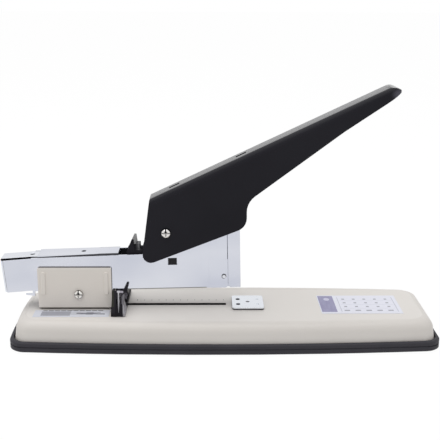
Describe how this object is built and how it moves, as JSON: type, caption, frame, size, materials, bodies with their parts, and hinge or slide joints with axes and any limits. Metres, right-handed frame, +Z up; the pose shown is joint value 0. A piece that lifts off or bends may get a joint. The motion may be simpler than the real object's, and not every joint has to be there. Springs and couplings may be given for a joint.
{
  "type": "heavy duty stapler",
  "caption": "Heavy duty desk stapler: long cream base on a rubber rim, chromed arm with magazine in a bracket, turning anvil, sliding paper stop and a long black press handle.",
  "frame": {"origin": "centre of the underside of the base", "axes": "+X along the base toward the edge where paper enters, +Z up, +Y away from the viewer of the picture"},
  "size_m": [0.2932, 0.084, 0.1693],
  "materials": {
    "cream_paint": "satin cream paint on pressed steel",
    "bracket_paint": "satin cream paint on bent sheet",
    "rubber": "matt black moulded rubber",
    "label": "matt printed film",
    "chrome": "bright chromed sheet",
    "bright_steel": "bright nickelled steel",
    "steel": "zinc plated steel",
    "dark_steel": "dark oxide steel",
    "black_paint": "satin black paint on bent sheet",
    "black_plastic": "moulded black plastic, half gloss"
  },
  "bodies": {
    "base": {"base_shell": "cream_paint", "base_rim": "rubber", "bottom_plate": "dark_steel", "base_post_1": "steel", "base_post_2": "steel", "base_post_3": "steel", "base_post_4": "steel", "base_screw_1": "steel", "base_screw_2": "steel", "base_screw_3": "steel", "base_screw_4": "steel", "base_beam": "steel", "spec_label": "label", "side_label": "label", "pivot_bracket": "bracket_paint", "bracket_screw_1": "steel", "bracket_screw_2": "steel", "pivot_bolt": "chrome", "pivot_nut": "steel", "arm_spring": "steel"},
    "anvil": {"anvil_plate": "bright_steel", "anvil_pin": "dark_steel", "anvil_clip": "dark_steel"},
    "paper_stop": {"paper_stop": "black_plastic", "stop_clamp": "dark_steel"},
    "arm": {"arm_plate_near": "chrome", "arm_plate_far": "chrome", "nose_guide": "chrome", "magazine_channel": "chrome", "staple_rail": "steel", "pusher_rod": "steel", "cover_sleeve": "chrome", "latch_pin": "steel", "window_plug_near": "black_plastic", "window_plug_far": "black_plastic", "head_rivet_near": "steel", "head_rivet_far": "steel", "frame_spacer": "steel", "handle_bolt": "chrome", "handle_nut": "steel", "handle_bush": "steel", "handle_spring": "steel", "ram_spring_stud": "steel", "ram_spring": "steel", "pusher_spring": "steel"},
    "cover": {"magazine_cover": "chrome"},
    "latch": {"magazine_latch": "black_plastic"},
    "pusher": {"pusher": "steel"},
    "handle": {"handle_shell": "black_paint", "drive_lever": "steel"},
    "driver": {"driver_ram": "steel", "driver_blade": "steel"}
  },
  "joints": [
    {"name": "arm_pivot", "type": "hinge", "parent": "base", "child": "arm", "pos_m": [-0.0981, 0, 0.0305], "axis": [0, 1, 0], "range_deg": [0, 7], "stiffness_Nm_per_rad": 4, "springref_deg": -17.19, "deforming": ["arm_spring"]},
    {"name": "handle_pivot", "type": "hinge", "parent": "arm", "child": "handle", "pos_m": [-0.03879, 0, 0.0736], "axis": [0, 1, 0], "range_deg": [0, 25], "stiffness_Nm_per_rad": 1.2, "springref_deg": -28.65, "deforming": ["handle_spring", "ram_spring"]},
    {"name": "driver_slide", "type": "slide", "parent": "arm", "child": "driver", "axis": [0.0209, 0, -0.9998], "range_m": [0, 0.0189]},
    {"name": "cover_slide", "type": "slide", "parent": "arm", "child": "cover", "axis": [-0.9998, 0, -0.0209], "range_m": [0, 0.07]},
    {"name": "latch_pivot", "type": "hinge", "parent": "arm", "child": "latch", "pos_m": [-0.05253, 0, 0.06106], "axis": [0, 1, 0], "range_deg": [0, 12], "stiffness_Nm_per_rad": 0.05, "springref_deg": -17.19},
    {"name": "pusher_slide", "type": "slide", "parent": "arm", "child": "pusher", "axis": [-0.9998, 0, -0.0209], "range_m": [0, 0.09], "stiffness_N_per_m": 30, "springref_m": -0.05, "deforming": ["pusher_spring"]},
    {"name": "anvil_turn", "type": "hinge", "parent": "base", "child": "anvil", "pos_m": [0.0164, 0, 0.0197], "axis": [0, 0, 1], "range_deg": [0, 180]},
    {"name": "stop_slide", "type": "slide", "parent": "base", "child": "paper_stop", "axis": [1, 0, 0], "range_m": [0, 0.06]}
  ],
  "couplings": [
    {"joint": "driver_slide", "follows": "handle_pivot", "m_per_rad": 0.04309}
  ]
}
